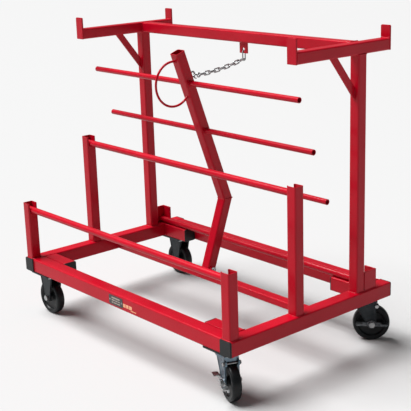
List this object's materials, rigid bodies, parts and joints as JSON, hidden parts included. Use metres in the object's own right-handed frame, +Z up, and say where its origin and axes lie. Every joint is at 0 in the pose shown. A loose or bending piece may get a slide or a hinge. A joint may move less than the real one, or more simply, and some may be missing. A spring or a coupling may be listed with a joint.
{
  "type": "wire reel cart",
  "caption": "Mobile reel cart: welded tube frame on casters, lift-out reel rods in slotted posts, a tilting chain-held arm with more rods, and hooked cradle arms on top.",
  "frame": {"origin": "on the floor under the middle of the base", "axes": "+X along the front beam towards the swivel casters, +Y from the low front posts to the back, +Z up"},
  "size_m": [1.1657, 0.7788, 1.0849],
  "materials": {
    "red_powder_coat": "gloss powder coat",
    "black_plastic": "moulded, satin",
    "black_label": "satin label plate",
    "zinc_plate": "zinc plated",
    "bright_zinc": "blue-white zinc plate",
    "grey_caster_steel": "dark satin plate",
    "wheel_rubber": "smooth hard rubber"
  },
  "bodies": {
    "frame": {"side_beam_left": "red_powder_coat", "side_beam_right": "red_powder_coat", "front_beam": "red_powder_coat", "rear_beam": "red_powder_coat", "corner_tubes": "red_powder_coat", "mid_crossbar": "red_powder_coat", "front_post_left": "red_powder_coat", "front_post_right": "red_powder_coat", "tall_post_left": "red_powder_coat", "tall_post_right": "red_powder_coat", "upright_left": "red_powder_coat", "upright_right": "red_powder_coat", "rod_pocket_left": "red_powder_coat", "rod_pocket_right": "red_powder_coat", "cradle_arm_left": "red_powder_coat", "cradle_arm_right": "red_powder_coat", "hook_front_left": "red_powder_coat", "hook_front_right": "red_powder_coat", "hook_back_left": "red_powder_coat", "hook_back_right": "red_powder_coat", "top_beam": "red_powder_coat", "brace_left": "red_powder_coat", "brace_right": "red_powder_coat", "chain_lug": "red_powder_coat", "pivot_bracket": "red_powder_coat", "end_caps": "black_plastic", "nameplate": "black_label", "pivot_bolt": "zinc_plate", "pivot_nut": "zinc_plate", "nameplate_rivets": "zinc_plate", "chain_top_link": "zinc_plate", "rigid_axle_bolts": "zinc_plate", "caster_bolts": "zinc_plate", "caster_nuts": "zinc_plate", "rigid_caster_front": "grey_caster_steel", "rigid_caster_rear": "grey_caster_steel", "swivel_plate_front": "grey_caster_steel", "swivel_plate_rear": "grey_caster_steel"},
    "swing_arm": {"arm_lower": "red_powder_coat", "arm_upper": "red_powder_coat", "arm_handle": "red_powder_coat", "arm_rod_top": "red_powder_coat", "arm_rod_middle": "red_powder_coat", "arm_rod_bottom": "red_powder_coat", "arm_eye": "zinc_plate"},
    "chain": {"chain_links": "zinc_plate", "chain_hook": "zinc_plate"},
    "front_reel_rod": {"front_rod": "red_powder_coat"},
    "tall_reel_rod": {"tall_rod": "red_powder_coat"},
    "rear_reel_rod": {"rear_rod": "red_powder_coat"},
    "swivel_front": {"swivel_fork_front": "bright_zinc", "axle_bolt_front": "zinc_plate"},
    "swivel_rear": {"swivel_fork_rear": "grey_caster_steel", "axle_bolt_rear": "zinc_plate"},
    "brake_front": {"brake_lever_front": "zinc_plate"},
    "brake_rear": {"brake_lever_rear": "zinc_plate"},
    "wheel_1": {"wheel_rigid_front": "wheel_rubber"},
    "wheel_2": {"wheel_rigid_rear": "wheel_rubber"},
    "wheel_3": {"wheel_swivel_front": "wheel_rubber"},
    "wheel_4": {"wheel_swivel_rear": "wheel_rubber"}
  },
  "joints": [
    {"name": "arm_tilt", "type": "hinge", "parent": "frame", "child": "swing_arm", "pos_m": [0, 0.046, 0.2075], "axis": [1, 0, 0], "range_deg": [0, 10]},
    {"name": "chain_swing", "type": "hinge", "parent": "frame", "child": "chain", "pos_m": [0.03, 0.215, 0.94825], "axis": [1, 0, 0], "range_deg": [0, 68]},
    {"name": "front_rod_lift", "type": "slide", "parent": "frame", "child": "front_reel_rod", "axis": [0, 0, 1], "range_m": [0, 0.045]},
    {"name": "tall_rod_lift", "type": "slide", "parent": "frame", "child": "tall_reel_rod", "axis": [0, 0, 1], "range_m": [0, 0.045]},
    {"name": "rear_rod_lift", "type": "slide", "parent": "frame", "child": "rear_reel_rod", "axis": [0, 0, 1], "range_m": [0, 0.075]},
    {"name": "front_swivel", "type": "hinge", "parent": "frame", "child": "swivel_front", "pos_m": [0.495, -0.3142, 0.15], "axis": [0, 0, 1], "continuous": true},
    {"name": "rear_swivel", "type": "hinge", "parent": "frame", "child": "swivel_rear", "pos_m": [0.495, 0.3142, 0.15], "axis": [0, 0, 1], "continuous": true},
    {"name": "wheel_1_spin", "type": "hinge", "parent": "frame", "child": "wheel_1", "pos_m": [-0.495, -0.3142, 0.0635], "axis": [0, 1, 0], "continuous": true},
    {"name": "wheel_2_spin", "type": "hinge", "parent": "frame", "child": "wheel_2", "pos_m": [-0.495, 0.3142, 0.0635], "axis": [0, 1, 0], "continuous": true},
    {"name": "wheel_3_spin", "type": "hinge", "parent": "swivel_front", "child": "wheel_3", "pos_m": [0.5256, -0.32656, 0.0635], "axis": [0.3746, 0.9272, 0], "continuous": true},
    {"name": "wheel_4_spin", "type": "hinge", "parent": "swivel_rear", "child": "wheel_4", "pos_m": [0.51833, 0.33753, 0.0635], "axis": [-0.7071, 0.7071, 0], "continuous": true},
    {"name": "brake_front_rock", "type": "hinge", "parent": "swivel_front", "child": "brake_front", "pos_m": [0.5256, -0.32656, 0.0635], "axis": [0.3746, 0.9272, 0], "range_deg": [-10, 10]},
    {"name": "brake_rear_rock", "type": "hinge", "parent": "swivel_rear", "child": "brake_rear", "pos_m": [0.51833, 0.33753, 0.0635], "axis": [-0.7071, 0.7071, 0], "range_deg": [-10, 10]}
  ]
}
